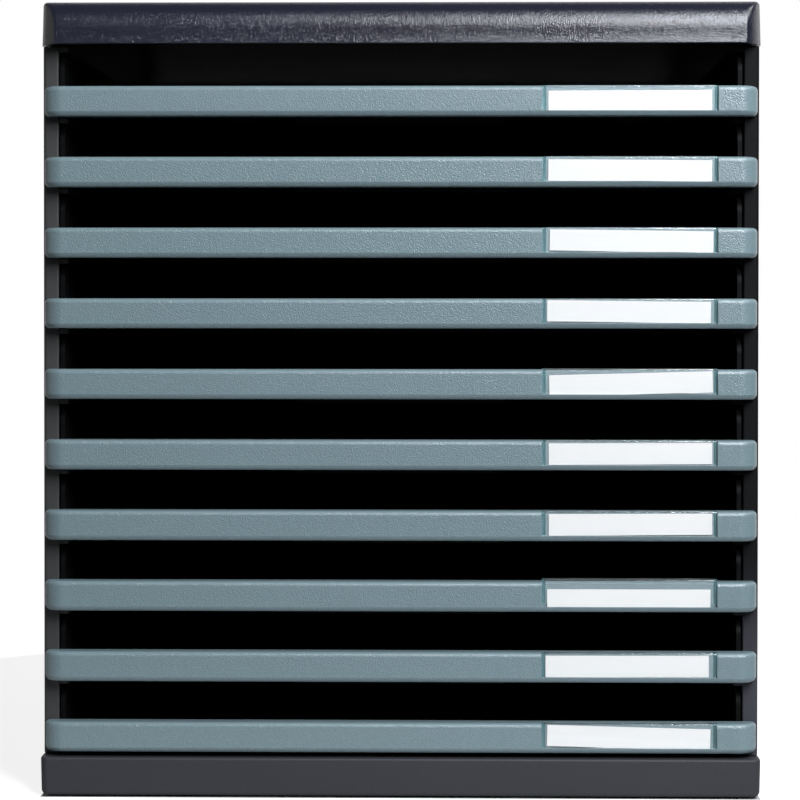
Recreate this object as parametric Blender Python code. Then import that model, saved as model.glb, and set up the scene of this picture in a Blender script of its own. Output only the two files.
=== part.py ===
"""Desktop drawer unit: a housing that holds ten shallow letter trays.

The frame has +Z up and the drawer fronts facing -Y. Its origin is on the desk,
under the middle of the unit. Each tray slides out along -Y on moulded ledges.
"""

import math

import bmesh
import bpy
from mathutils import Matrix, Vector

# Whole unit
UNIT_WIDTH = 0.288
UNIT_DEPTH = 0.350
DRAWER_COUNT = 10
DRAWER_PITCH = 0.02815

# Clearances and cuts
FIT_GAP = 0.0003
CUT_OVERRUN = 0.001
MERGE_DISTANCE = 0.000001

# Plinth under the unit
PLINTH_TOP = 0.016
PLINTH_WALL = 0.0025
PLINTH_DRAFT = 0.0003
PLINTH_TOP_RADIUS = 0.0011
PLINTH_FOOT_RADIUS = 0.0015
PLINTH_INSET = 0.0002
PLINTH_CORNER_WIDTH = 0.003
PLINTH_CORNER_DEPTH = 0.006

# Cover on top of the unit
COVER_HEIGHT = 0.0176
COVER_WALL = 0.0024
COVER_DRAFT = 0.0005
COVER_BAND = 0.006
COVER_CROWN_DEPTH = 0.0105
COVER_CROWN_STEPS = 9
COVER_TOP_RADIUS = 0.0014
COVER_CORNER_WIDTH = 0.0056
COVER_CORNER_DEPTH = 0.0125
CORNER_STEPS = 6

# Rubber feet
FOOT_RADIUS = 0.006
FOOT_HEIGHT = 0.0024
FOOT_PROUD = 0.0008
FOOT_EDGE_RADIUS = 0.0005
FOOT_BOSS_WALL = 0.0026
FOOT_EDGE_DISTANCE = 0.022
FOOT_SIDES = 16

# Side panels
PANEL_SHEET = 0.0022
PANEL_INSET = 0.0008
PANEL_REAR_INSET = 0.0008
FLANGE_WIDTH = 0.0062
FLANGE_THICKNESS = 0.002
FLANGE_OUTER_RADIUS = 0.0016
FLANGE_INNER_RADIUS = 0.0004
LEDGE_REACH = 0.0038
LEDGE_THICKNESS = 0.002
LEDGE_DROP = 0.0002
LEDGE_NOSE_RADIUS = 0.0016

# Back panel
BACK_SHEET = 0.002
BACK_RIB_WIDTH = 0.0015
BACK_RIB_DEPTH = 0.0012
BACK_RIB_COUNT = 3

# Pegs that locate the side panels on plinth and cover
PEG_RADIUS = 0.0019
PEG_WALL_DISTANCE = 0.0005
PEG_SIDES = 12
PEG_PLACE_SHARES = (-0.34, 0.0, 0.34)

# Drawer front rail
RAIL_SIDE_INSET = 0.0009
RAIL_HEIGHT = 0.0119
RAIL_DEPTH = 0.008
RAIL_INSET = 0.0006
RAIL_CORNER_RADIUS = 0.0075
RAIL_CORNER_STEPS = 6
RAIL_EDGE_RADIUS = 0.0018
RAIL_EDGE_STEPS = 3
RAIL_WALL = 0.002
RAIL_FACE = 0.0032
RAIL_STOP_GAP = 0.0004
RAIL_PLINTH_GAP = 0.0021
RAIL_COVER_GAP = 0.0166

# Label pocket in the rail
POCKET_WIDTH = 0.0698
POCKET_DEPTH = 0.0019
POCKET_LIP = 0.002
POCKET_END_DISTANCE = 0.0162
CARD_SLOT_FLOOR = 0.0006
CARD_SLOT_THICKNESS = 0.0008
FOLD_SEAT_DEPTH = 0.0008
FOLD_LENGTH = 0.0042

# Clear label window
WINDOW_GAP = 0.00015
WINDOW_PLATE = 0.0009
WINDOW_FOLD = 0.0006
WINDOW_SET_BACK = 0.00015
WINDOW_FLANGE_WIDTH = 0.001
WINDOW_EDGE_RADIUS = 0.0005

# Label card, with the way each one lies in its pocket
CARD_SIDE_PLAY = 0.00135
CARD_RISE_PLAY = 0.0023
CARD_THICKNESS = 0.0003
CARD_SET_BACK = 0.00135
CARD_TILTS = (0.25, -0.4, -0.8, -0.6, 1.5, 0.25, 0.3, 0.0, 0.1, -1.45)
CARD_LIFT_SHARES = (0.1, 0.17, 0.178, 0.205, 0.12, 0.205, 0.205, 0.0, 0.2, 0.09)
CARD_SHIFT_SHARES = (0.0, 0.0, 0.45, -0.25, 0.35, 0.25, 0.3, -0.15, -0.6, -0.1)
WINDOW_LIFT_SHARES = (0.0, 0.0, 0.0, 0.0, 0.2, 0.0, 0.0, 0.67, 0.0, 0.0)

# Tray
TRAY_SIDE_CLEARANCE = 0.0007
TRAY_TOP_CLEARANCE = 0.0009
TRAY_REAR_CLEARANCE = 0.006
TRAY_WALL = 0.0018
TRAY_COVE_RADIUS = 0.0085
TRAY_COVE_STEPS = 3
TRAY_NOSE_RADIUS = 0.007
TRAY_FRONT_DROP = 0.0004
RUNNER_WIDTH = 0.0016
RUNNER_INSET = 0.0008
RUNNER_ROOT = 0.0003
PLUG_DEPTH = 0.0026
PLUG_SIDE_DISTANCE = 0.003
DRAWER_TRAVEL = 0.25
NUB_REACH = 0.0032
NUB_LENGTH = 0.005
NUB_HEIGHT = 0.006
NUB_LIFT = 0.012
SCOOP_WIDTH = 0.085
SCOOP_LENGTH = 0.09
SCOOP_DEPTH = 0.0017
SCOOP_CORNER_RADIUS = 0.01
SCOOP_EDGE_RADIUS = 0.0009
STRUT_LENGTH = 0.031
STRUT_WIDTH = 0.0012
STRUT_DEPTH = 0.0012
STRUT_TURN = -49.6
STRUT_ROW_SPACING = 0.047
STRUT_COLUMN_SPACING = 0.08
STRUT_FIRST_ROW = 0.022
STRUT_FIRST_COLUMN = 0.009
STRUT_ROWS = 5

# Planes that several pieces meet
FRONT_Y = -UNIT_DEPTH / 2
REAR_Y = UNIT_DEPTH / 2
RAIL_FRONT_Y = FRONT_Y + RAIL_INSET
RAIL_REAR_Y = RAIL_FRONT_Y + RAIL_DEPTH
PANEL_FRONT_Y = RAIL_REAR_Y + RAIL_STOP_GAP
PANEL_REAR_Y = REAR_Y - PANEL_REAR_INSET
FLANGE_REAR_Y = PANEL_FRONT_Y + FLANGE_THICKNESS
BACK_REAR_Y = PANEL_REAR_Y - FLANGE_THICKNESS - FIT_GAP
BACK_FRONT_Y = BACK_REAR_Y - BACK_SHEET
LEDGE_REAR_Y = BACK_FRONT_Y - FIT_GAP
TRAY_FRONT_Y = RAIL_REAR_Y + FIT_GAP
TRAY_REAR_Y = BACK_FRONT_Y - TRAY_REAR_CLEARANCE
PANEL_OUTER_X = UNIT_WIDTH / 2 - PANEL_INSET
PANEL_INNER_X = PANEL_OUTER_X - PANEL_SHEET
FLANGE_INNER_X = PANEL_OUTER_X - FLANGE_WIDTH
LEDGE_INNER_X = FLANGE_INNER_X - LEDGE_REACH
RAIL_OUTER_X = PANEL_OUTER_X - RAIL_SIDE_INSET
POCKET_OFFSET = RAIL_OUTER_X - POCKET_END_DISTANCE - POCKET_WIDTH / 2
CARD_WIDTH = POCKET_WIDTH - 2 * (WINDOW_GAP + WINDOW_FLANGE_WIDTH + CARD_SIDE_PLAY)
CARD_HEIGHT = RAIL_HEIGHT - WINDOW_FOLD - CARD_SLOT_FLOOR - CARD_RISE_PLAY
TRAY_OUTER_X = FLANGE_INNER_X - TRAY_SIDE_CLEARANCE
TRAY_INNER_X = TRAY_OUTER_X - TRAY_WALL
PEG_X = PANEL_INNER_X - PEG_WALL_DISTANCE - PEG_RADIUS
LOWEST_RAIL_Z = PLINTH_TOP + RAIL_PLINTH_GAP
HIGHEST_RAIL_Z = LOWEST_RAIL_Z + (DRAWER_COUNT - 1) * DRAWER_PITCH
COVER_BOTTOM_Z = HIGHEST_RAIL_Z + RAIL_HEIGHT + RAIL_COVER_GAP
COVER_TOP_Z = COVER_BOTTOM_Z + COVER_HEIGHT
PANEL_BOTTOM_Z = PLINTH_TOP + FIT_GAP
PANEL_TOP_Z = COVER_BOTTOM_Z - FIT_GAP

# Heights within one drawer, measured from its rail's underside
TRAY_BOTTOM = FIT_GAP - LEDGE_DROP
TRAY_FLOOR_TOP = TRAY_BOTTOM + TRAY_WALL
TRAY_TOP = DRAWER_PITCH - LEDGE_DROP - LEDGE_THICKNESS - TRAY_TOP_CLEARANCE
TRAY_FRONT_TOP = RAIL_HEIGHT - TRAY_FRONT_DROP

FINISHES = {
    "housing": ((0.030, 0.030, 0.033), 0.5, 0.0),
    "tray": ((0.010, 0.010, 0.011), 0.4, 0.0),
    "rail": ((0.215, 0.300, 0.325), 0.42, 0.0),
    "window": ((0.90, 0.96, 0.97), 0.06, 0.0),
    "card": ((0.86, 0.87, 0.88), 0.7, 0.0),
    "rubber": ((0.015, 0.015, 0.016), 0.85, 0.0),
}


def clear_scene():
    """Remove what the opened file holds."""
    for obj in list(bpy.data.objects):
        bpy.data.objects.remove(obj, do_unlink=True)


def make_finish(name):
    """Make the material of one kind of piece."""
    colour, roughness, metallic = FINISHES[name]
    material = bpy.data.materials.new(name)
    material.use_nodes = True
    material.diffuse_color = (*colour, 1.0)
    shader = material.node_tree.nodes["Principled BSDF"]
    shader.inputs["Base Color"].default_value = (*colour, 1.0)
    shader.inputs["Roughness"].default_value = roughness
    shader.inputs["Metallic"].default_value = metallic
    if name == "window":
        shader.inputs["Transmission Weight"].default_value = 1.0
    return material


def new_object(name, bm):
    """Turn a bmesh into an object at the origin and free the bmesh."""
    bmesh.ops.recalc_face_normals(bm, faces=bm.faces)
    mesh = bpy.data.meshes.new(name)
    bm.to_mesh(mesh)
    bm.free()
    obj = bpy.data.objects.new(name, mesh)
    bpy.context.scene.collection.objects.link(obj)
    return obj


def add_box(bm, low, high):
    """Add a box between two opposite corners."""
    low = Vector(low)
    high = Vector(high)
    size = high - low
    place = Matrix.Translation((low + high) / 2) @ Matrix.Diagonal((*size, 1.0))
    bmesh.ops.create_cube(bm, size=1.0, matrix=place)


def box_mesh(low, high):
    """Return a bmesh that holds one box."""
    bm = bmesh.new()
    add_box(bm, low, high)
    return bm


def boxes(name, corners):
    """Make one object from several boxes, given as pairs of corners."""
    bm = bmesh.new()
    for low, high in corners:
        add_box(bm, low, high)
    return new_object(name, bm)


def mirrored(side, low, high):
    """Give a box's corners on the right side, or mirrored to the left."""
    if side > 0:
        return low, high
    return (-high[0], low[1], low[2]), (-low[0], high[1], high[2])


def cylinders(name, radius, places, bottom, top, sides):
    """Make one object from upright cylinders at the given places."""
    bm = bmesh.new()
    for x, y in places:
        place = Matrix.Translation((x, y, (bottom + top) / 2))
        bmesh.ops.create_cone(bm, cap_ends=True, segments=sides, radius1=radius,
                              radius2=radius, depth=top - bottom, matrix=place)
    return new_object(name, bm)


def round_edges(bm, radius, steps, picks):
    """Bevel each edge that the test function picks."""
    edges = [edge for edge in bm.edges if picks(edge.verts[0].co, edge.verts[1].co)]
    bmesh.ops.bevel(bm, geom=edges, offset=radius, offset_type="OFFSET", segments=steps,
                    profile=0.5, affect="EDGES", clamp_overlap=False)


def round_plan_corners(bm, width, depth):
    """Round the upright edges to quarter ellipses, by a bevel in squashed space."""
    squash = Matrix.Diagonal((1.0, width / depth, 1.0, 1.0))
    bm.transform(squash)
    round_edges(bm, width, CORNER_STEPS, upright)
    bm.transform(squash.inverted())


def same(first, second):
    """Tell whether two coordinates coincide."""
    return abs(first - second) < MERGE_DISTANCE


def upright(a, b):
    """Tell whether an edge rises from one height to another."""
    return not same(a.z, b.z)


def combine(obj, other, operation):
    """Apply a Boolean of obj with other, then remove other."""
    modifier = obj.modifiers.new("combine", "BOOLEAN")
    modifier.operation = operation
    modifier.solver = "EXACT"
    modifier.object = other
    graph = bpy.context.evaluated_depsgraph_get()
    mesh = bpy.data.meshes.new_from_object(obj.evaluated_get(graph))
    obj.modifiers.clear()
    old = obj.data
    obj.data = mesh
    bpy.data.meshes.remove(old)
    bpy.data.objects.remove(other, do_unlink=True)
    tidy(obj.data)


def tidy(mesh):
    """Merge coincident points and drop edges between flat faces."""
    bm = bmesh.new()
    bm.from_mesh(mesh)
    bmesh.ops.remove_doubles(bm, verts=bm.verts, dist=MERGE_DISTANCE)
    bmesh.ops.dissolve_limit(bm, angle_limit=math.radians(0.1), verts=bm.verts,
                             edges=bm.edges, use_dissolve_boundaries=False)
    bm.to_mesh(mesh)
    bm.free()


def cut(obj, cutter):
    """Take the cutter away from the object."""
    combine(obj, cutter, "DIFFERENCE")


def join(obj, other):
    """Fuse the other shape with the object."""
    combine(obj, other, "UNION")


def finish_object(obj, name, material, collection, origin=(0.0, 0.0, 0.0)):
    """Name a finished piece, give its material and put its origin in place."""
    obj.name = name
    obj.data.name = name
    obj.data.materials.clear()
    obj.data.materials.append(material)
    obj.data.transform(Matrix.Translation(-Vector(origin)))
    obj.location = origin
    obj.data.shade_smooth()
    obj.data.set_sharp_from_angle(angle=math.radians(32.0))
    move_to(obj, collection)
    return obj


def move_to(obj, collection):
    """Put the object in the unit's collection alone."""
    for owner in list(obj.users_collection):
        owner.objects.unlink(obj)
    collection.objects.link(obj)


def curve_rise(radius, inset):
    """Height of a rounded edge's outside at a distance in from its side."""
    run = radius - min(inset, radius)
    return radius - math.sqrt(radius * radius - run * run)


def rail_bottom(number):
    """Height of a drawer's rail underside; drawer 1 is the top one."""
    return HIGHEST_RAIL_Z - (number - 1) * DRAWER_PITCH


def peg_places():
    """Plan places of the pegs on both sides."""
    return [(side * PEG_X, share * UNIT_DEPTH)
            for side in (-1, 1) for share in PEG_PLACE_SHARES]


def foot_places():
    """Plan places of the four feet."""
    x = UNIT_WIDTH / 2 - FOOT_EDGE_DISTANCE
    y = UNIT_DEPTH / 2 - FOOT_EDGE_DISTANCE
    return [(-x, -y), (x, -y), (-x, y), (x, y)]


def plinth_shell():
    """Outer block of the plinth: drafted sides, round plan corners."""
    half_x = UNIT_WIDTH / 2 - PLINTH_INSET
    half_y = UNIT_DEPTH / 2
    bm = box_mesh((-half_x, -half_y, FOOT_PROUD), (half_x, half_y, PLINTH_TOP))
    for vert in bm.verts:
        if same(vert.co.z, FOOT_PROUD):
            vert.co.x -= math.copysign(PLINTH_DRAFT, vert.co.x)
            vert.co.y -= math.copysign(PLINTH_DRAFT, vert.co.y)
    round_plan_corners(bm, PLINTH_CORNER_WIDTH, PLINTH_CORNER_DEPTH)
    round_edges(bm, PLINTH_TOP_RADIUS, 2,
                lambda a, b: same(a.z, PLINTH_TOP) and same(b.z, PLINTH_TOP))
    round_edges(bm, PLINTH_FOOT_RADIUS, 2,
                lambda a, b: same(a.z, FOOT_PROUD) and same(b.z, FOOT_PROUD))
    return new_object("plinth", bm)


def hollow_block(corner, wall, inset, heights, lean=0.0):
    """Cutter for the inside of plinth or cover; its front can lean back."""
    half_x = UNIT_WIDTH / 2 - inset - wall
    half_y = UNIT_DEPTH / 2 - inset - wall
    bottom, top = heights
    bm = box_mesh((-half_x, -half_y, bottom), (half_x, half_y, top))
    width, depth = (max(size - wall, wall / 4) for size in corner)
    round_plan_corners(bm, width, depth)
    for vert in bm.verts:
        if vert.co.y < 0 and same(vert.co.z, top):
            vert.co.y += lean
    return new_object("hollow", bm)


def build_plinth():
    """Hollow plinth with foot bosses under it and pegs on top."""
    obj = plinth_shell()
    ceiling = PLINTH_TOP - PLINTH_WALL
    cut(obj, hollow_block((PLINTH_CORNER_WIDTH, PLINTH_CORNER_DEPTH), PLINTH_WALL,
                          PLINTH_DRAFT + PLINTH_INSET, (FOOT_PROUD - CUT_OVERRUN, ceiling)))
    join(obj, cylinders("bosses", FOOT_RADIUS + FOOT_BOSS_WALL, foot_places(),
                        FOOT_PROUD, ceiling + PLINTH_WALL / 2, FOOT_SIDES))
    cut(obj, cylinders("seats", FOOT_RADIUS + FIT_GAP, foot_places(),
                       FOOT_PROUD - CUT_OVERRUN, FOOT_HEIGHT + FIT_GAP, FOOT_SIDES))
    peg_top = LOWEST_RAIL_Z - LEDGE_DROP
    join(obj, cylinders("pegs", PEG_RADIUS, peg_places(),
                        PLINTH_TOP - PLINTH_WALL / 2, peg_top, PEG_SIDES))
    return obj


def build_foot(place):
    """Rubber disc foot, pressed into its boss."""
    obj_bm = bmesh.new()
    x, y = place
    centre = Matrix.Translation((x, y, FOOT_HEIGHT / 2))
    bmesh.ops.create_cone(obj_bm, cap_ends=True, segments=FOOT_SIDES, radius1=FOOT_RADIUS,
                          radius2=FOOT_RADIUS, depth=FOOT_HEIGHT, matrix=centre)
    round_edges(obj_bm, FOOT_EDGE_RADIUS, 1,
                lambda a, b: same(a.z, 0.0) and same(b.z, 0.0))
    return new_object("foot", obj_bm)


def crown_height(level):
    """Height over the cover's lip of a crown level, from 0 at the lip."""
    if level < 1:
        return COVER_BAND * level
    rise = math.sin(math.radians(90) * (level - 1) / COVER_CROWN_STEPS)
    return COVER_BAND + (COVER_HEIGHT - COVER_BAND) * rise


def crown_inset(height):
    """How far the crowned front lies back at a height over the cover's lip."""
    rise = max(height - COVER_BAND, 0.0) / (COVER_HEIGHT - COVER_BAND)
    return COVER_CROWN_DEPTH * (1 - math.sqrt(max(1 - rise * rise, 0.0)))


def side_inset(height):
    """How far the cover's sides and rear lie in at a height over its lip."""
    return (COVER_DRAFT * height / COVER_HEIGHT
            + curve_rise(COVER_TOP_RADIUS, COVER_HEIGHT - height))


def cover_shell():
    """Outer block of the cover, its front crowned back to the top."""
    half_x = UNIT_WIDTH / 2
    half_y = UNIT_DEPTH / 2
    bm = box_mesh((-half_x, -half_y, 0.0), (half_x, half_y, COVER_HEIGHT))
    round_plan_corners(bm, COVER_CORNER_WIDTH, COVER_CORNER_DEPTH)
    rising = [edge for edge in bm.edges if upright(edge.verts[0].co, edge.verts[1].co)]
    bmesh.ops.subdivide_edges(bm, edges=rising, cuts=COVER_CROWN_STEPS)
    for vert in bm.verts:
        level = vert.co.z / COVER_HEIGHT * (COVER_CROWN_STEPS + 1)
        height = crown_height(level)
        side = side_inset(height)
        vert.co.x -= math.copysign(side, vert.co.x)
        vert.co.y += crown_inset(height) if vert.co.y < 0 else -side
        vert.co.z = COVER_BOTTOM_Z + height
    return new_object("cover", bm)


def build_cover():
    """Hollow cover with the pegs that stand in the panels' top flanges."""
    obj = cover_shell()
    ceiling = COVER_TOP_Z - COVER_WALL
    cut(obj, hollow_block((COVER_CORNER_WIDTH, COVER_CORNER_DEPTH), COVER_WALL, COVER_DRAFT,
                          (COVER_BOTTOM_Z - CUT_OVERRUN, ceiling),
                          crown_inset(COVER_HEIGHT - COVER_WALL)))
    join(obj, cylinders("pegs", PEG_RADIUS, peg_places(),
                        PANEL_TOP_Z - LEDGE_THICKNESS, ceiling + COVER_WALL / 2, PEG_SIDES))
    return obj


def panel_channel(side):
    """Side sheet with return flanges down its front and rear edges."""
    low, high = mirrored(side, (FLANGE_INNER_X, PANEL_FRONT_Y, PANEL_BOTTOM_Z),
                         (PANEL_OUTER_X, PANEL_REAR_Y, PANEL_TOP_Z))
    bm = box_mesh(low, high)
    outer = side * PANEL_OUTER_X
    inner = side * FLANGE_INNER_X
    round_edges(bm, FLANGE_OUTER_RADIUS, 3,
                lambda a, b: upright(a, b) and same(a.x, outer))
    round_edges(bm, FLANGE_INNER_RADIUS, 1,
                lambda a, b: upright(a, b) and same(a.x, inner))
    obj = new_object("panel", bm)
    low, high = mirrored(side, (FLANGE_INNER_X - CUT_OVERRUN, FLANGE_REAR_Y,
                                PANEL_BOTTOM_Z - CUT_OVERRUN),
                         (PANEL_INNER_X, PANEL_REAR_Y - FLANGE_THICKNESS,
                          PANEL_TOP_Z + CUT_OVERRUN))
    cut(obj, boxes("hollow", [(low, high)]))
    return obj


def ledge_heights():
    """Underside and top of each ledge, from the lowest to the top flange."""
    heights = []
    for number in range(DRAWER_COUNT, 0, -1):
        top = rail_bottom(number) - LEDGE_DROP
        bottom = max(top - LEDGE_THICKNESS, PANEL_BOTTOM_Z)
        heights.append((bottom, top))
    heights.append((PANEL_TOP_Z - LEDGE_THICKNESS, PANEL_TOP_Z))
    return heights


def panel_ledges(side):
    """All the ledges of one panel, with round noses at the front."""
    bm = bmesh.new()
    for bottom, top in ledge_heights():
        low, high = mirrored(side, (LEDGE_INNER_X, FLANGE_REAR_Y - FLANGE_THICKNESS / 2, bottom),
                             (PANEL_INNER_X + PANEL_SHEET / 2, LEDGE_REAR_Y, top))
        add_box(bm, low, high)
    nose = side * LEDGE_INNER_X
    front = FLANGE_REAR_Y - FLANGE_THICKNESS / 2
    round_edges(bm, LEDGE_NOSE_RADIUS, 3,
                lambda a, b: upright(a, b) and same(a.x, nose) and same(a.y, front))
    return new_object("ledges", bm)


def build_side_panel(side):
    """Side panel: channel, eleven ledges and the holes for the pegs."""
    obj = panel_channel(side)
    join(obj, panel_ledges(side))
    places = [(side * PEG_X, share * UNIT_DEPTH) for share in PEG_PLACE_SHARES]
    heights = ledge_heights()
    for bottom, top in (heights[0], heights[-1]):
        cut(obj, cylinders("holes", PEG_RADIUS + FIT_GAP, places, bottom - CUT_OVERRUN,
                           top + CUT_OVERRUN, PEG_SIDES))
    return obj


def build_back_panel():
    """Rear sheet, held between the ledge ends and the rear flanges."""
    half_x = PANEL_INNER_X - FIT_GAP
    obj = boxes("back", [((-half_x, BACK_FRONT_Y, PANEL_BOTTOM_Z),
                          (half_x, BACK_REAR_Y, PANEL_TOP_Z))])
    spacing = 2 * FLANGE_INNER_X / (BACK_RIB_COUNT + 1)
    ribs = []
    for number in range(BACK_RIB_COUNT):
        x = -FLANGE_INNER_X + (number + 1) * spacing
        ribs.append(((x - BACK_RIB_WIDTH / 2, BACK_REAR_Y - BACK_SHEET / 2, PANEL_BOTTOM_Z),
                     (x + BACK_RIB_WIDTH / 2, BACK_REAR_Y + BACK_RIB_DEPTH, PANEL_TOP_Z)))
    join(obj, boxes("ribs", ribs))
    return obj


def rail_block():
    """Outer block of a rail: round plan corners and soft front edges."""
    bm = box_mesh((-RAIL_OUTER_X, RAIL_FRONT_Y, 0.0),
                  (RAIL_OUTER_X, RAIL_REAR_Y, RAIL_HEIGHT))
    round_edges(bm, RAIL_CORNER_RADIUS, RAIL_CORNER_STEPS,
                lambda a, b: upright(a, b) and same(a.y, RAIL_FRONT_Y))
    round_edges(bm, RAIL_EDGE_RADIUS, RAIL_EDGE_STEPS,
                lambda a, b: same(a.z, b.z) and not (same(a.y, RAIL_REAR_Y)
                                                     and same(b.y, RAIL_REAR_Y)))
    return new_object("rail", bm)


def label_pocket():
    """Cutters for the label pocket, the card slot and the fold's seat."""
    left = POCKET_OFFSET - POCKET_WIDTH / 2
    right = POCKET_OFFSET + POCKET_WIDTH / 2
    front = RAIL_FRONT_Y - CUT_OVERRUN
    back = RAIL_FRONT_Y + POCKET_DEPTH
    above = RAIL_HEIGHT + CUT_OVERRUN
    pocket = boxes("pocket", [((left, front, POCKET_LIP), (right, back, above))])
    inset = WINDOW_GAP + WINDOW_FLANGE_WIDTH
    slot = boxes("slot", [((left + inset, back - CARD_SLOT_THICKNESS, CARD_SLOT_FLOOR),
                           (right - inset, back, above))])
    join(pocket, slot)
    seat = boxes("seat", [((left, front, RAIL_HEIGHT - FOLD_SEAT_DEPTH),
                           (right, RAIL_FRONT_Y + FOLD_LENGTH, above))])
    join(pocket, seat)
    return pocket


def build_rail():
    """Front rail: a channel open to the rear, with its label pocket."""
    obj = rail_block()
    half = RAIL_OUTER_X - RAIL_WALL - RAIL_STOP_GAP
    cut(obj, boxes("channel", [((-half, RAIL_FRONT_Y + RAIL_FACE, RAIL_WALL),
                                (half, RAIL_REAR_Y + CUT_OVERRUN, RAIL_HEIGHT - RAIL_WALL))]))
    cut(obj, label_pocket())
    return obj


def build_window():
    """Clear window: a front plate folded back over the rail's top."""
    half = POCKET_WIDTH / 2 - WINDOW_GAP
    front = RAIL_FRONT_Y + WINDOW_SET_BACK
    bottom = POCKET_LIP + WINDOW_GAP
    top = RAIL_HEIGHT
    rear = RAIL_FRONT_Y + FOLD_LENGTH - WINDOW_GAP
    bm = box_mesh((-half, front, bottom), (half, rear, top))
    round_edges(bm, WINDOW_EDGE_RADIUS, 2,
                lambda a, b: not same(a.x, b.x) and same(a.y, front) and same(a.z, top)
                and same(b.y, front) and same(b.z, top))
    obj = new_object("window", bm)
    plate_rear = front + WINDOW_PLATE
    cut(obj, boxes("inside", [((-half - CUT_OVERRUN, plate_rear, bottom - CUT_OVERRUN),
                               (half + CUT_OVERRUN, rear + CUT_OVERRUN, top - WINDOW_FOLD))]))
    flange_rear = RAIL_FRONT_Y + POCKET_DEPTH - WINDOW_GAP
    root = plate_rear - WINDOW_PLATE / 2
    flange_top = top - WINDOW_FOLD / 2
    inner = half - WINDOW_FLANGE_WIDTH
    join(obj, boxes("flanges", [((-half, root, bottom), (-inner, flange_rear, flange_top)),
                                ((inner, root, bottom), (half, flange_rear, flange_top))]))
    return obj


def build_card():
    """Plain label card, centred on its own middle."""
    half = CARD_WIDTH / 2
    return boxes("card", [((-half, -CARD_THICKNESS / 2, -CARD_HEIGHT / 2),
                           (half, CARD_THICKNESS / 2, CARD_HEIGHT / 2))])


def tray_block(inset, front, bottom, top, nose_radius):
    """Block with coved lower edges and round rear corners."""
    half = TRAY_OUTER_X - inset
    rear = TRAY_REAR_Y - inset
    radius = TRAY_COVE_RADIUS - inset
    bm = box_mesh((-half, front, bottom), (half, rear, top))
    if nose_radius > 0:
        round_edges(bm, nose_radius, 4,
                    lambda a, b: same(a.z, top) and same(b.z, top)
                    and same(a.y, front) and same(b.y, front))
    round_edges(bm, radius, TRAY_COVE_STEPS,
                lambda a, b: upright(a, b) and same(a.y, rear) and same(b.y, rear))
    round_edges(bm, radius, TRAY_COVE_STEPS,
                lambda a, b: same(a.z, bottom) and same(b.z, bottom)
                and not (same(a.y, front) and same(b.y, front)))
    return new_object("tray_block", bm)


def scoop_block(inset, lift):
    """Block of the finger scoop in the floor, by its distance from the outside."""
    half = SCOOP_WIDTH / 2 - inset
    front = TRAY_FRONT_Y + inset
    rear = TRAY_FRONT_Y + SCOOP_LENGTH - inset
    bottom = TRAY_BOTTOM - SCOOP_DEPTH + lift
    top = bottom + SCOOP_DEPTH + TRAY_WALL / 2
    bm = box_mesh((-half, front, bottom), (half, rear, top))
    round_edges(bm, SCOOP_CORNER_RADIUS - inset, 3,
                lambda a, b: upright(a, b) and same(a.y, rear))
    round_edges(bm, SCOOP_EDGE_RADIUS, 1,
                lambda a, b: same(a.z, bottom) and same(b.z, bottom)
                and not (same(a.y, front) and same(b.y, front)))
    return new_object("scoop", bm)


def strut_places():
    """Middles of the short slanted ribs under the floor, in staggered rows."""
    limit = TRAY_OUTER_X - TRAY_COVE_RADIUS - STRUT_LENGTH / 2
    places = []
    for row in range(STRUT_ROWS):
        y = TRAY_FRONT_Y + STRUT_FIRST_ROW + row * STRUT_ROW_SPACING
        start = STRUT_FIRST_COLUMN + (row % 2) * STRUT_COLUMN_SPACING / 2
        reach = math.floor(2 * limit / STRUT_COLUMN_SPACING) + 1
        for step in range(-reach, reach + 1):
            x = start + step * STRUT_COLUMN_SPACING
            under_scoop = (abs(x) < SCOOP_WIDTH / 2 + STRUT_LENGTH / 2
                           and y < TRAY_FRONT_Y + SCOOP_LENGTH)
            if abs(x) <= limit and not under_scoop:
                places.append((x, y))
    return places


def strut_bars():
    """Short slanted ribs that stiffen the tray's floor from below."""
    turn = Matrix.Rotation(math.radians(STRUT_TURN), 4, "Z")
    top = TRAY_BOTTOM + TRAY_WALL / 2
    bottom = TRAY_BOTTOM - STRUT_DEPTH
    size = Matrix.Diagonal((STRUT_LENGTH, STRUT_WIDTH, top - bottom, 1.0))
    bm = bmesh.new()
    for x, y in strut_places():
        place = Matrix.Translation((x, y, (bottom + top) / 2))
        bmesh.ops.create_cube(bm, size=1.0, matrix=place @ turn @ size)
    return new_object("struts", bm)


def tray_additions():
    """Boxes for the runners, the plug into the rail and the stop nubs."""
    runner_outer = TRAY_OUTER_X - RUNNER_INSET
    runner_top = TRAY_BOTTOM + curve_rise(TRAY_COVE_RADIUS, RUNNER_INSET) + RUNNER_ROOT
    runner_rear = TRAY_REAR_Y - TRAY_COVE_RADIUS
    plug_x = TRAY_OUTER_X - PLUG_SIDE_DISTANCE
    nub_front = FLANGE_REAR_Y + DRAWER_TRAVEL + FIT_GAP
    root = TRAY_WALL / 2
    added = []
    for side in (-1, 1):
        added.append(mirrored(side, (runner_outer - RUNNER_WIDTH, TRAY_FRONT_Y, TRAY_BOTTOM),
                              (runner_outer, runner_rear, runner_top)))
        added.append(mirrored(side, (TRAY_OUTER_X - root, nub_front, NUB_LIFT),
                              (TRAY_OUTER_X + NUB_REACH, nub_front + NUB_LENGTH,
                               NUB_LIFT + NUB_HEIGHT)))
    added.append(((-plug_x, TRAY_FRONT_Y - FIT_GAP - PLUG_DEPTH, RAIL_WALL + FIT_GAP),
                  (plug_x, TRAY_FRONT_Y + root, RAIL_HEIGHT - RAIL_WALL - FIT_GAP)))
    return added


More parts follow.
